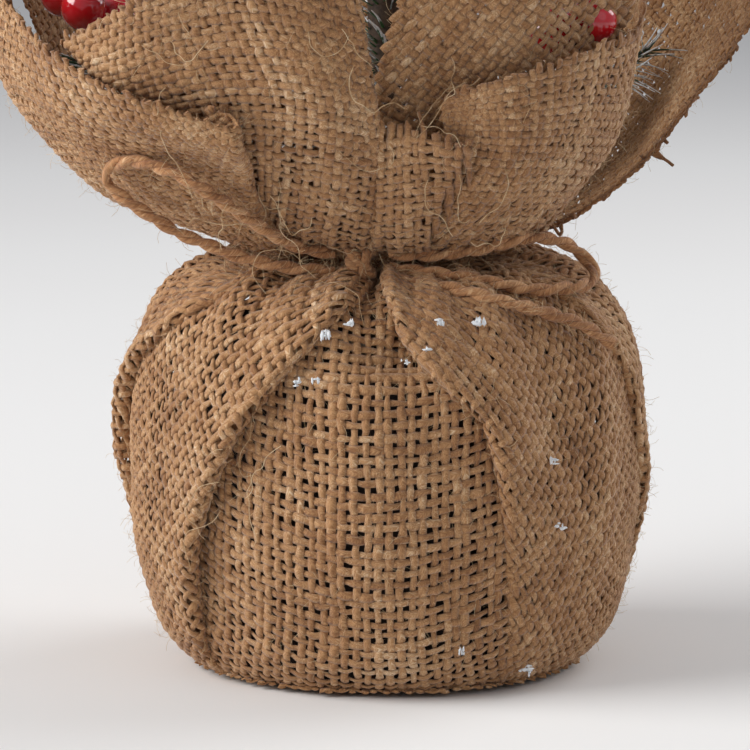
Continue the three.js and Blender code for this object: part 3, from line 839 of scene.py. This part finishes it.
PETALS = {
    "burlap_collar_left": dict(turn=8, fold_high=True, points=[
        [(-22, 9, 91), (-24, 1, 91), (-24, -6, 91), (-22, -13, 91), (-19, -19, 91), (-17, -21.5, 91)],
        [(-36, 14, 94), (-38, 2, 94), (-37, -12, 94.5), (-33, -23, 95), (-28, -30, 95),
         (-25, -34, 95)],
        [(-57, 20, 102), (-60, 2, 101.5), (-57, -17, 102), (-49, -30, 103), (-38, -37.5, 103.5),
         (-28.5, -41.5, 104)],
        [(-71, 24, 117), (-75, 2, 116.5), (-71, -19, 116), (-61, -34, 114), (-46, -44.5, 112),
         (-30, -50, 111.5)],
        [(-80, 26, 133), (-84, 2, 132), (-80, -20, 132), (-70, -39, 125), (-51, -53, 119.5),
         (-31, -57.5, 117)],
        [(-84, 26, 151), (-87, 2, 151), (-82, -20, 147.5), (-72, -42, 139), (-54, -57, 128.5),
         (-32, -60.5, 121)],
    ]),
    "burlap_collar_front": dict(turn=-12, fold_low=True, fold_high=True, waves=0.5,
                                points=FRONT_PETAL),
    # The same corner doubled back behind itself.
    "burlap_collar_front_inner": dict(turn=14, waves=0.3, points=[
        [(x * 0.93 + 0.4, y * 0.93 + 1.5, z + 0.5) for x, y, z in row] for row in FRONT_PETAL]),
    "burlap_collar_right_behind": dict(turn=-32, points=[
        [(4, -23, 91), (14, -20, 91), (22, -10, 91)],
        [(-3, -38, 110), (20, -38, 111), (38, -23, 111)],
        [(-2, -46, 130), (24, -49, 131), (46, -34, 131)],
        [(3, -51, 148), (28, -54, 150), (53, -36, 150)],
        [(9, -54, 163), (30, -57, 166), (56, -38, 166)],
    ]),
    "burlap_collar_right": dict(turn=-6, points=[
        [(4, -24, 91), (11, -22, 91), (17, -17, 91), (22, -9, 91), (24, 3, 91)],
        [(8, -32, 94), (17, -31, 94), (26, -24, 94), (31, -12, 94), (33, 4, 94)],
        [(12, -43, 106), (25, -43, 106), (35, -35, 106), (41.5, -18, 106), (43, 2, 106)],
        [(11, -50, 117), (27, -51, 118), (40, -41, 119), (48.5, -20, 119), (50, 2, 119)],
        [(11.5, -54, 126), (23, -56, 131), (41, -51, 136), (52, -36, 141), (57, -8, 157)],
    ]),
    "burlap_collar_strip": dict(turn=10, edge_cut=("high",), fray=2.2, points=[
        [(-4, -24.5, 90), (2, -25.5, 90), (8, -24.5, 90)],
        [(-3.5, -36, 96), (3, -38.5, 96), (9, -36.5, 96)],
        [(-2.5, -45, 105), (5, -47, 105), (13, -45, 105)],
        [(-2, -50, 114), (6, -52.5, 114.5), (16, -51.5, 112.5)],
        [(-1.5, -52, 121), (7, -54.5, 120), (18, -53.5, 116)],
    ]),
    "burlap_collar_rear_right": dict(turn=24, edge_cut=("low",), fray=1.6, points=[
        [(22, 2, 91), (19, 12, 91), (13, 18.5, 91), (5, 22, 91)],
        [(37, 2, 95), (32, 18, 95), (22, 30, 95), (6, 36, 95)],
        [(56, 4, 108), (50, 30, 107), (34, 48, 107), (10, 57, 107)],
        [(67, 6, 121), (59, 38, 121), (40, 60, 121), (10, 70, 121)],
        [(79, 9, 139), (69, 46, 140), (46, 70, 142), (8, 80, 142)],
        [(87, 12, 156), (76, 50, 160), (50, 75, 163), (8, 84, 158)],
    ]),
    "burlap_collar_rear_left": dict(turn=-18, fray=1.6, points=[
        [(8, 21, 91), (-3, 22, 91), (-12, 18.5, 91), (-18, 12, 91), (-21, 3, 91)],
        [(10, 34, 95), (-4, 35, 95), (-17, 31, 95), (-28, 21, 95), (-35, 8, 95)],
        [(14, 54, 107), (-5, 56, 107), (-25, 51, 107), (-42, 36, 106), (-53, 13, 105)],
        [(16, 67, 121), (-6, 70, 121), (-30, 64, 121), (-53, 46, 121), (-68, 16, 120)],
        [(17, 76, 141), (-7, 80, 141), (-35, 73, 141), (-61, 52, 138), (-76, 19, 135)],
        [(18, 80, 158), (-8, 85, 161), (-40, 79, 164), (-68, 57, 157), (-82, 20, 148)],
    ]),
}


def weave_collar():
    """The petals of the collar, each a sheet of its own from the one cloth."""
    pieces = []
    for seed, (name, shape) in enumerate(PETALS.items()):
        shape = dict(shape)
        turn, fray = shape.pop("turn"), shape.pop("fray", 0.4)
        lay, reach = petal(**shape)
        level = None if 20 < abs(turn) < 70 else 1
        samples = 2 if "rear" in name else 3
        piece, cut, area = woven(name, lay, reach, 40 + seed, turn, level, fray, PULLED_PITCH,
                                 samples)
        ride_base(piece, "jute_burlap", "burlap_collar")
        pieces.append(piece)
    return pieces


# ---- Twine ----

def strands(name, route, seed, lay=TWINE_LAY, closed=False):
    """Two strands laid round a route, in millimetres, as one twisted cord."""
    rng = np.random.default_rng(seed)
    run = along(route)
    turns = max(1, round(run[-1] / lay)) if closed else run[-1] / lay
    count = int(run[-1] / 0.55)
    step = np.linspace(0, run[-1], count)
    line = np.stack([np.interp(step, run, route[:, axis]) for axis in range(3)], 1)
    ahead = unit(np.gradient(line, axis=0))
    aside = unit(np.cross(ahead, (0.05, 0.1, 1)))
    above = np.cross(aside, ahead)
    lines, outward, thick, shade = [], [], [], []
    for strand in (0, 1):
        angle = 2 * math.pi * turns * step / run[-1] + math.pi * strand
        away = aside * np.cos(angle)[:, None] + above * np.sin(angle)[:, None]
        lines.append(line + away * TWINE * 0.225)
        outward.append(away)
        phase = rng.uniform(0, 6.28, 3)
        thick.append(1 + 0.07 * np.sin(step / 3.1 + phase[0]) + 0.05 * np.sin(step / 1.3 + phase[1]))
        shade.append(np.clip(0.5 + 0.2 * np.sin(step / 6.7 + phase[2]), 0, 1))
    mesh = lines_mesh(name, np.concatenate(lines) * MM, [count, count],
                      outward=np.concatenate(outward), thick=np.concatenate(thick),
                      shade=np.concatenate(shade))
    return grown(name, mesh, YARNS, Width=TWINE * 0.6 * MM, Thickness=TWINE * 0.6 * MM,
                 Sides=9, Material=TWINE_YARN)


def make_bow():
    """The bow's loops and tail: free cords that lie on the cloth."""
    ends = (("bow_loop_right", BOW_LOOP_RIGHT, "object"), ("bow_loop_left", BOW_LOOP_LEFT, "object"),
            ("bow_tail_right", BOW_TAIL_RIGHT, "bare"))
    pieces = []
    for seed, (name, route, end) in enumerate(ends):
        line = smooth_line(route, 10)
        cord = strands(name + "_twine", line, 60 + seed)
        ride_base(cord, "jute_twine", name)
        pieces.append(cord)
    return pieces


def make_tie():
    """Two turns of twine round the neck, and the knot that closes them."""
    low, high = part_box("twine_neck_turns")
    radius = high.x / MM - TWINE / 2
    middle = (low.z + high.z) / 2 / MM
    turn = np.linspace(0, 2 * math.pi, 240)
    parts = []
    for side in (-1, 1):
        wave = 0.35 * np.sin(3 * turn + side)
        ring = np.stack([radius * np.sin(turn), radius * np.cos(turn),
                         middle + side * 1.25 + wave], 1)
        parts.append(strands(f"twine_turn_{side}", ring, 70 + side, closed=True))
    neck = joined("twine_neck_twisted", parts)
    ride_base(neck, "jute_twine", "twine_neck_turns")
    low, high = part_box("bow_knot")
    centre = np.array((low + high) / 2) / MM
    half = np.array((high - low) / 2) / MM
    wraps = []
    for number, (lean, push) in enumerate(((0.25, -1.7), (-0.1, 1.0), (0.9, 0.1))):
        angle = np.linspace(0, 2 * math.pi, 60)
        across = push + 0.5 * np.sin(angle)
        ring = np.stack([across, (half[1] - 1.1) * np.cos(angle), (half[2] - 1.1) * np.sin(angle)], 1)
        c, s = math.cos(lean), math.sin(lean)
        leant = np.stack([ring[:, 0] * c - ring[:, 2] * s, ring[:, 1],
                          ring[:, 0] * s + ring[:, 2] * c], 1)
        wraps.append(strands(f"knot_wrap_{number}", leant + centre, 80 + number, closed=True))
    knot = joined("bow_knot_wraps", wraps)
    ride_base(knot, "jute_twine", "bow_knot")
    return [neck, knot]


def joined(name, parts):
    """Several mesh pieces made one."""
    with bpy.context.temp_override(active_object=parts[0], selected_editable_objects=parts):
        bpy.ops.object.join()
    parts[0].name = name
    parts[0].data.name = name
    return parts[0]


def raise_fibres(name, source, seed, density, length, slot="jute_burlap", width=FIBRE):
    """Loose fibres on a woven or twisted piece, as a piece of their own."""
    fibres = grown(name, source.data.copy(), FIBRES, Density=density, Length=length * MM,
                   Width=width * MM, Seed=seed, Material=LOOSE_FIBRE)
    return ride_base(fibres, slot)


# ---- Branches ----

def branch_frame(name):
    """A branch's pivot, its directions across, along and above, its length and its half width."""
    joint = next(j for j in frame["joints"] if j["child"] == name)
    pivot = np.array(joint["pos_m"], float)
    mesh = frame["nodes"][name].data
    points = np.array([v.co for v in mesh.vertices], float) - pivot
    tip = points[np.argmax(np.linalg.norm(points, axis=1))]
    length = np.linalg.norm(tip)
    ahead = tip / length
    across = unit(np.cross(ahead, (0, 0, 1)))
    above = np.cross(across, ahead)
    half_width = np.abs(points @ across).max()
    return pivot, np.stack([across, ahead, above]), length, half_width


def twig_lines(length, half_width, rng, bare, needle):
    """A main wire along +Y with side twigs, in millimetres, inside the branch's outer shape."""
    lines = [np.array([(0, 0, 0), (0.5, 0.3 * length, -1), (-0.6, 0.65 * length, -0.6),
                       (0, length - 0.5 * needle, 0)])]
    spread = half_width - 0.62 * needle
    for number, share in enumerate(np.linspace(0.2, 0.74, 7)):
        side = 1 if number % 2 else -1
        start = np.array([0, max(share * length, bare + 2), -0.8])
        reach = (0.34 * length) * (1.1 - share)
        out = min(spread, 0.75 * reach)
        end = start + np.array([side * out, reach * 0.85, rng.uniform(-2, 3)])
        lines.append(np.array([start, (start + end) / 2 + (side * 1.5, 0, 1), end]))
    return lines


# Branches that the collar's cloth holds in, as a share of their full length.
SHORTENED = {"branch_1_5": 0.6, "branch_1_4": 0.78}


def needle_branch(name, piece_name, seed):
    """One branch: wound wire twigs, needles that start past the bare wire, and flock."""
    rng = np.random.default_rng(seed)
    pivot, axes, length, half_width = branch_frame(name)
    length, half_width = length / MM * SHORTENED.get(name, 1), half_width / MM
    needle = min(NEEDLE_LENGTH, 0.78 * half_width)
    twigs = twig_lines(length, half_width, rng, 16, needle)
    bare, rest = twigs[0], [smooth_line(line, 5) for line in twigs]
    rest[0] = rest[0][rest[0][:, 1] > 15]
    stem = smooth_line(bare, 5)
    stem = stem[stem[:, 1] <= 0.34 * length]
    points = np.concatenate(rest) @ axes * MM + pivot
    mesh = lines_mesh(piece_name, points, [len(line) for line in rest])
    leafy = grown(piece_name, mesh, NEEDLES, Spacing=0.42 * MM, Needle_length=needle * MM,
                  Needle_width=NEEDLE_WIDTH * MM, Lean=0.85, Wire=1.7 * MM, Seed=seed)
    flocked = grown(piece_name + "_flocked", leafy.data, FLOCK, Density=9000.0, Crumb=1.5 * MM,
                    Seed=seed + 1)
    bpy.data.objects.remove(leafy)
    foot = lines_mesh(piece_name + "_foot", stem @ axes * MM + pivot, [len(stem)])
    wire = grown(piece_name + "_wire", foot, NEEDLES, Spacing=1.0, Needle_length=0.1 * MM,
                 Needle_width=0.1 * MM, Lean=0.8, Wire=2.2 * MM, Seed=seed)
    whole = joined(piece_name, [flocked, wire])
    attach(whole, name)
    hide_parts(name)
    return whole


def needle_leader():
    """The top of the tree: an upright wire with short twigs all round."""
    low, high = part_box("leader")
    foot, top = low.z / MM, high.z / MM
    rng = np.random.default_rng(5)
    lines = [np.array([(0, 0, foot), (0.6, 0, foot + 50), (0, 0, top - 9)])]
    for number in range(9):
        bearing = number * 2.4
        start = np.array([0, 0, foot + 26 + number * 7.5])
        out = np.array([math.cos(bearing), math.sin(bearing), 0]) * 3.4
        end = start + out + (0, 0, 15 + rng.uniform(0, 4))
        lines.append(np.array([start, (start + end) / 2 + out * 0.2, end]))
    lines = [smooth_line(line, 5) for line in lines]
    mesh = lines_mesh("leader_needles", np.concatenate(lines) * MM, [len(line) for line in lines])
    leafy = grown("leader_needles", mesh, NEEDLES, Spacing=0.45 * MM, Needle_length=12 * MM,
                  Needle_width=NEEDLE_WIDTH * MM, Lean=0.75, Wire=2.2 * MM, Seed=900)
    whole = grown("leader_flocked", leafy.data, FLOCK, Density=9000.0, Crumb=1.5 * MM, Seed=901)
    bpy.data.objects.remove(leafy)
    return ride_base(whole, "pvc_needles", "leader")


def needle_trunk():
    """Short needles wound in with the trunk's tape, between the branches."""
    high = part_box("trunk")[1]
    radius, foot = high.x / MM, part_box("branch_1_1")[0].z / MM
    line = np.linspace((0, 0, foot), (0, 0, high.z / MM - 12), 40)
    mesh = lines_mesh("trunk_needles_bare", line * MM, [len(line)])
    leafy = grown("trunk_needles_bare", mesh, NEEDLES, Spacing=0.22 * MM,
                  Needle_length=(radius + 12) * MM, Needle_width=NEEDLE_WIDTH * MM, Lean=0.95,
                  Wire=1.0 * MM, Seed=910)
    whole = grown("trunk_needles", leafy.data, FLOCK, Density=3500.0, Crumb=1.4 * MM, Seed=911)
    bpy.data.objects.remove(leafy)
    return ride_base(whole, "pvc_needles")


# ---- Trunk, berries and cones ----

def tube(name, points, radii, sides, material):
    """A closed tube with its own radius at each point, in millimetres."""
    points = np.asarray(points, float)
    ahead = unit(np.gradient(points, axis=0))
    aside = unit(np.cross(ahead, (0.31, 0.95, 0.05)))
    above = np.cross(ahead, aside)
    turn = np.linspace(0, 2 * math.pi, sides, endpoint=False)
    radii = np.broadcast_to(np.asarray(radii, float).reshape(len(points), -1),
                            (len(points), sides))
    ring = (aside[:, None] * np.cos(turn)[None, :, None]
            + above[:, None] * np.sin(turn)[None, :, None])
    skin = points[:, None] + ring * radii[..., None]
    places = np.vstack([skin.reshape(-1, 3), points[[0, -1]]]) * MM
    faces = []
    for row in range(len(points) - 1):
        for side in range(sides):
            after = (side + 1) % sides
            faces.append((row * sides + side, row * sides + after,
                          (row + 1) * sides + after, (row + 1) * sides + side))
    last = (len(points) - 1) * sides
    middle = len(points) * sides
    for side in range(sides):
        after = (side + 1) % sides
        faces.append((middle, after, side))
        faces.append((middle + 1, last + side, last + after))
    mesh = bpy.data.meshes.new(name)
    mesh.from_pydata(places.tolist(), [], faces)
    mesh.polygons.foreach_set("use_smooth", [True] * len(faces))
    mesh.materials.append(material)
    return link(bpy.data.objects.new(name, mesh))


TAPE_PITCH = 9  # how far the tape climbs in one turn


def wrap_trunk():
    """Florist tape wound up the trunk: each turn laps the one below."""
    low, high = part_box("trunk")
    radius = high.x / MM
    height = np.linspace(low.z / MM, high.z / MM, 300)
    turn = np.linspace(0, 2 * math.pi, 28, endpoint=False)
    climb = TAPE_PITCH * turn[None, :] / (2 * math.pi)
    lap = ((height[:, None] + climb) / TAPE_PITCH) % 1
    skin = radius - 0.35 + 0.3 * lap + 0.05 * np.sin(5 * turn + height[:, None] / 3)
    line = np.stack([0 * height, 0 * height, height], 1)
    return ride_base(tube("trunk_taped", line, skin, 28, FLORIST_TAPE), "florist_tape", "trunk")


def ball(name, centre, radius, material, squash=(1, 1, 1), dimple=None, rows=14, sides=20):
    """A smooth ball, in millimetres, slightly pressed in where its tip is."""
    up = np.linspace(-math.pi / 2, math.pi / 2, rows)
    line = np.stack([0 * up, 0 * up, np.sin(up) * radius], 1)
    made = tube(name, line + (0, 0, 0), np.maximum(np.cos(up) * radius, 0.02), sides, material)
    places = np.array([v.co for v in made.data.vertices], float) / MM * squash
    if dimple is not None:
        near = np.clip(unit(places) @ dimple, -1, 1)
        places = places * (1 - 0.14 * np.exp(-(1 - near) / 0.02))[:, None]
    places = (places + centre) * MM
    made.data.vertices.foreach_set("co", places.astype(np.float32).ravel())
    return made


def local_centre(node, pivot, axes):
    """The middle of a CAD node in its branch's own directions, in millimetres."""
    points = (np.array([v.co for v in frame["nodes"][node].data.vertices], float) - pivot) @ axes.T
    low, high = points.min(0), points.max(0)
    return (low + high) / 2 / MM, (high - low) / MM


def body_of(node):
    return next(body for body, nodes in frame["record"]["behaviour"]["bodies"].items()
                if node in nodes)


def make_berries(number, count):
    """A bunch of lacquered berries on wire stalks, each with a dark tip."""
    node = f"berries_{number}"
    body = body_of(node)
    pivot, axes = branch_frame(body)[:2]
    points = (np.array([v.co for v in frame["nodes"][node].data.vertices], float) - pivot) @ axes.T
    points /= MM
    height = (points[:, 2].min() + points[:, 2].max()) / 2
    spread = BERRY_RADIUS * BERRY_SQUEEZE / math.sin(math.pi / count)
    first_x = points[:, 0].max() - BERRY_RADIUS - spread
    middle = np.array([first_x, (points[:, 1].min() + points[:, 1].max()) / 2, height])
    if count == 3:
        middle[1] = points[np.argmax(points[:, 0]), 1]
    parts = []
    for berry in range(count):
        angle = 2 * math.pi * berry / count
        away = np.array([math.cos(angle), math.sin(angle), 0])
        centre = middle + spread * away
        tip = unit(away * 0.6 + (0, 0, 0.8))
        parts.append(ball(f"{node}_{berry}", centre, BERRY_RADIUS - 0.05, BERRY_LACQUER,
                          dimple=tip))
        parts.append(ball(f"{node}_tip_{berry}", centre + tip * (BERRY_RADIUS - 0.75), 0.65,
                          BERRY_TIP))
    bunch = joined(node + "_glossy", parts)
    bunch.data.transform(Matrix.Translation(Vector(pivot)) @ Matrix(axes.T.tolist()).to_4x4())
    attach(bunch, body)
    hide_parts(node)
    stalk = f"berry_stalk_{number}"
    centre, size = local_centre(stalk, pivot, axes)
    line = np.linspace(centre - (0, 0, size[2] / 2), centre + (0, 0, size[2] / 2), 24)
    turns = tube(stalk + "_taped", line, 0.72 + 0.08 * (np.arange(24) % 3), 8, FLORIST_TAPE)
    turns.data.transform(Matrix.Translation(Vector(pivot)) @ Matrix(axes.T.tolist()).to_4x4())
    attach(turns, body)
    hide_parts(stalk)


def scale_tree():
    """Sets one cone scale on each point, turned and sized by the point's own values."""
    tree, given = new_tree("scales_on_cone", [("Scale", "Object"), ("Material", "Material")])
    scale = add(tree, "GeometryNodeObjectInfo", {"Object": given["Scale"]})
    turn = add(tree, "GeometryNodeInputNamedAttribute", {"Name": "turn"},
               data_type="FLOAT_VECTOR")
    size = add(tree, "GeometryNodeInputNamedAttribute", {"Name": "size"}, data_type="FLOAT")
    rotation = add(tree, "FunctionNodeEulerToRotation", {"Euler": turn.outputs["Attribute"]})
    placed = add(tree, "GeometryNodeInstanceOnPoints",
                 {"Points": given["Geometry"], "Instance": scale.outputs["Geometry"],
                  "Rotation": rotation.outputs[0], "Scale": size.outputs["Attribute"]})
    return close_tree(tree, placed.outputs["Instances"], given["Material"])


def cone_scale():
    """One woody scale, 1 mm long, which widens to a thick, upturned lip."""
    outline = [(-0.16, 0, 0), (0.16, 0, 0), (0.36, 0.62, 0.05), (0.26, 0.94, 0.2), (0, 1.06, 0.26),
               (-0.26, 0.94, 0.2), (-0.36, 0.62, 0.05)]
    upper = [(x, y, z + 0.11) for x, y, z in outline]
    count = len(outline)
    faces = [tuple(range(count))[::-1], tuple(range(count, 2 * count))]
    faces += [(i, (i + 1) % count, (i + 1) % count + count, i + count) for i in range(count)]
    mesh = bpy.data.meshes.new("cone_scale")
    mesh.from_pydata([[c * MM for c in p] for p in outline + upper], [], faces)
    return link(bpy.data.objects.new("cone_scale", mesh))


CONE_SCALES = 74
CONES = 4
GOLDEN_ANGLE = 137.5  # degrees from one scale to the next


def make_cone(number, tree, scale):
    """A pine cone: scales in a spiral round a core, inside the CAD cone's outline."""
    node = f"pine_cone_{number}"
    body = body_of(node)
    pivot, axes = branch_frame(body)[:2]
    centre, size = local_centre(node, pivot, axes)
    tall, wide = size[1], size[0] / 2
    count = CONE_SCALES
    share = (np.arange(count) + 0.5) / count
    bearing = np.arange(count) * math.radians(GOLDEN_ANGLE)
    swell = np.sin(math.pi * np.clip(share * 0.86 + 0.1, 0, 1)) ** 0.7
    core = 0.34 * wide * swell
    up = (share - 0.5) * tall * 0.86 - 0.06 * tall
    places = np.stack([core * np.cos(bearing), core * np.sin(bearing), up], 1)
    lift = 0.15 + 0.95 * share
    turns = np.stack([lift, 0 * share, bearing - math.pi / 2], 1)
    mesh = lines_mesh(node, places * MM, [count], turn=turns,
                      size=(wide - core) * (1.06 - 0.3 * share))
    made = grown(node + "_scales", mesh, tree, Scale=scale, Material=PINE_SCALE)
    heart_line = np.stack([0 * share, 0 * share, (share - 0.5) * tall * 0.9], 1)
    heart = tube(node + "_core", heart_line, 0.45 * wide * swell, 10, PINE_SCALE)
    cone = joined(node + "_scales", [made, heart])
    stand = Matrix.Rotation(-math.pi / 2, 4, "X")
    local = Matrix.Translation(Vector(centre * MM)) @ stand
    cone.data.transform(Matrix.Translation(Vector(pivot)) @ Matrix(axes.T.tolist()).to_4x4() @ local)
    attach(cone, body)
    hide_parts(node)


def make_cones():
    tree, scale = scale_tree(), cone_scale()
    for number in range(1, CONES + 1):
        make_cone(number, tree, scale)
    bpy.data.objects.remove(scale)
    bpy.data.node_groups.remove(tree)


def finish_pot():
    """The pot and its cement are the CAD's own solids, with their own finishes."""
    for node, material, slot in (("pot", POT_PLASTIC, "pot_plastic"),
                                 ("cement_weight", CEMENT, "cement")):
        mesh = frame["nodes"][node].data
        mesh.materials.clear()
        mesh.materials.append(material)


THREADS_EACH = 3  # stray fibres that start at each place


def stray_threads(places):
    """Long single fibres that have worked loose from the cloth and curl in front of it."""
    rng = np.random.default_rng(17)
    lines = []
    for start in places:
        for _ in range(THREADS_EACH):
            outward = unit(np.array([start[0], start[1], 0.0]))
            aside = np.array([-outward[1], outward[0], 0])
            turn = rng.uniform(0, 2 * math.pi) + np.cumsum(rng.normal(0, 0.55, 9))
            step = rng.uniform(1.2, 2.6)
            walk = np.cumsum(step * (np.cos(turn)[:, None] * aside
                                     + np.sin(turn)[:, None] * (0, 0, 1)), axis=0)
            lift = np.sin(np.linspace(0.1, 2.6, 9)) * rng.uniform(1.5, 4)
            line = np.array(start, float) + rng.normal(0, 2.5, 3) * (1, 0.1, 1) + walk
            lines.append(smooth_line(line + outward * lift[:, None], 4))
    count = sum(len(line) for line in lines)
    up = np.tile((0.0, -1.0, 0.0), (count, 1))
    mesh = lines_mesh("stray_jute_threads", np.concatenate(lines) * MM,
                      [len(line) for line in lines], outward=up, thick=np.ones(count))
    return ride_base(grown("stray_jute_threads", mesh, YARNS, Width=0.16 * MM,
                           Thickness=0.16 * MM, Sides=3, Material=LOOSE_FIBRE), "jute_burlap")


CRUMB_PARTS = 6  # shreds of flock that cling together in one crumb


def drop_flakes(places):
    """Crumbs of flock that have fallen on the bag, at (bearing, height) on its front."""
    crumbs = []
    rng = np.random.default_rng(11)
    for number, (bearing, height, size) in enumerate(places):
        radius = np.interp(height, bag_line[12:, 1], bag_line[12:, 0]) + 3.0
        turn = math.radians(bearing)
        centre = np.array([radius * math.sin(turn), -radius * math.cos(turn), height])
        for part in range(CRUMB_PARTS):
            shift = rng.normal(0, 0.55 * size, 3) * (1, 0.3, 0.8)
            shred = ball(f"flake_{number}_{part}", (0, 0, 0), 0.55 * size, SNOW_FLOCK,
                         squash=rng.permutation([0.4, 0.7, 1.5]), rows=6, sides=6)
            places = np.array([v.co for v in shred.data.vertices], float)
            places = places * rng.uniform(0.6, 1.4, (len(places), 1)) + (centre + shift) * MM
            shred.data.vertices.foreach_set("co", places.astype(np.float32).ravel())
            crumbs.append(shred)
    return ride_base(joined("fallen_flock_crumbs", crumbs), "pvc_needles")


# ---- Studio ----

TABLE_RADIUS = 25  # metres, so that the edge is never seen
TABLE_HEIGHT = -0.0002  # just under the cloth
TABLE_SIDES = 64
# Each lamp's name, place in metres, width, power in watts and colour.
LAMPS = [
    ("key", (-1.5, -0.38, 0.95), 1.4, 35, "#FFFFFF"),
    ("fill", (1.3, -1.3, 0.9), 1.4, 1.5, "#F6F9FF"),
    ("rear", (1.05, 0.55, 0.95), 1.2, 11, "#FFFFFF"),
]
LAMP_AIM = Vector((0, 0, 0.12))


def set_studio():
    """A wide pale table top, one large soft light from the upper left and weak ones round it."""
    turn = np.linspace(0, 2 * math.pi, TABLE_SIDES, endpoint=False)
    mesh = bpy.data.meshes.new("pale_table_top")
    mesh.from_pydata([(TABLE_RADIUS * math.cos(t), TABLE_RADIUS * math.sin(t), TABLE_HEIGHT)
                      for t in turn], [], [tuple(range(TABLE_SIDES))])
    mesh.materials.append(grained_material(
        "pale_paper_table", 400.0, [(0.3, "#E9E7E5"), (0.7, "#EBEAE8")], 0.0, detail=1.0,
        Roughness=0.9))
    link(bpy.data.objects.new("pale_table_top", mesh))
    for name, place, size, power, tint in LAMPS:
        light = bpy.data.lights.new(name, "AREA")
        light.shape = "DISK"
        light.size = size
        light.energy = power
        light.color = linear(tint)[:3]
        lamp = link(bpy.data.objects.new(name, light))
        lamp.location = place
        lamp.rotation_euler = (LAMP_AIM - Vector(place)).to_track_quat("-Z", "Y").to_euler()
    world = bpy.data.worlds.new("studio")
    world.use_nodes = True
    world.node_tree.nodes["Background"].inputs["Color"].default_value = linear("#EEF1F8")
    world.node_tree.nodes["Background"].inputs["Strength"].default_value = 0.37
    bpy.context.scene.world = world
    bpy.context.scene.view_settings.view_transform = "Standard"


# ---- Assembly ----

# Each crumb's bearing from the front in degrees, height and size in millimetres.
FLAKES = [(-14, 78, 1.1), (-9, 80, 0.9), (-19, 68, 0.9), (-15, 69, 0.8), (13, 80, 1.0),
          (22, 80, 1.1), (9, 75, 0.8), (4, 73, 0.7), (37, 51, 0.9), (39, 37, 0.8), (37, 5, 1.0),
          (17, 12, 0.8)]

# Loose fibres on a square metre of yarn.
CLOTH_FIBRES = 55000
TWINE_FIBRES = 260000
# Where long fibres have worked loose, in millimetres.
STRAYS = [(4, -54, 117), (8, -55, 121), (-22, -44, 101), (-27, -50, 106), (-38, -62, 135),
          (-3, -34, 94), (-15, -38, 88), (12, -42, 86), (-34, -48, 50), (-30, -46, 44),
          (-50, -52, 122), (22, -49, 100), (38, -42, 128), (-8, -64, 140)]

set_studio()
bow = make_bow()
tie = make_tie()
bag = weave_bag()
collar = weave_collar()
for number, piece in enumerate(bag[:-1] + collar):
    raise_fibres(piece.name + "_fibres", piece, 100 + number, CLOTH_FIBRES, 4.2, width=0.08)
for number, piece in enumerate(bow + tie):
    raise_fibres(piece.name + "_fibres", piece, 120 + number, TWINE_FIBRES, 3.6, "jute_twine")
for number, name in enumerate(sorted(n for n in frame["nodes"] if n.startswith("branch_"))):
    needle_branch(name, name.replace("branch", "needles"), 200 + 7 * number)
needle_leader()
needle_trunk()
wrap_trunk()
for number, count in enumerate(BERRY_COUNTS):
    make_berries(number + 1, count)
make_cones()
finish_pot()
stray_threads(STRAYS)
drop_flakes(FLAKES)
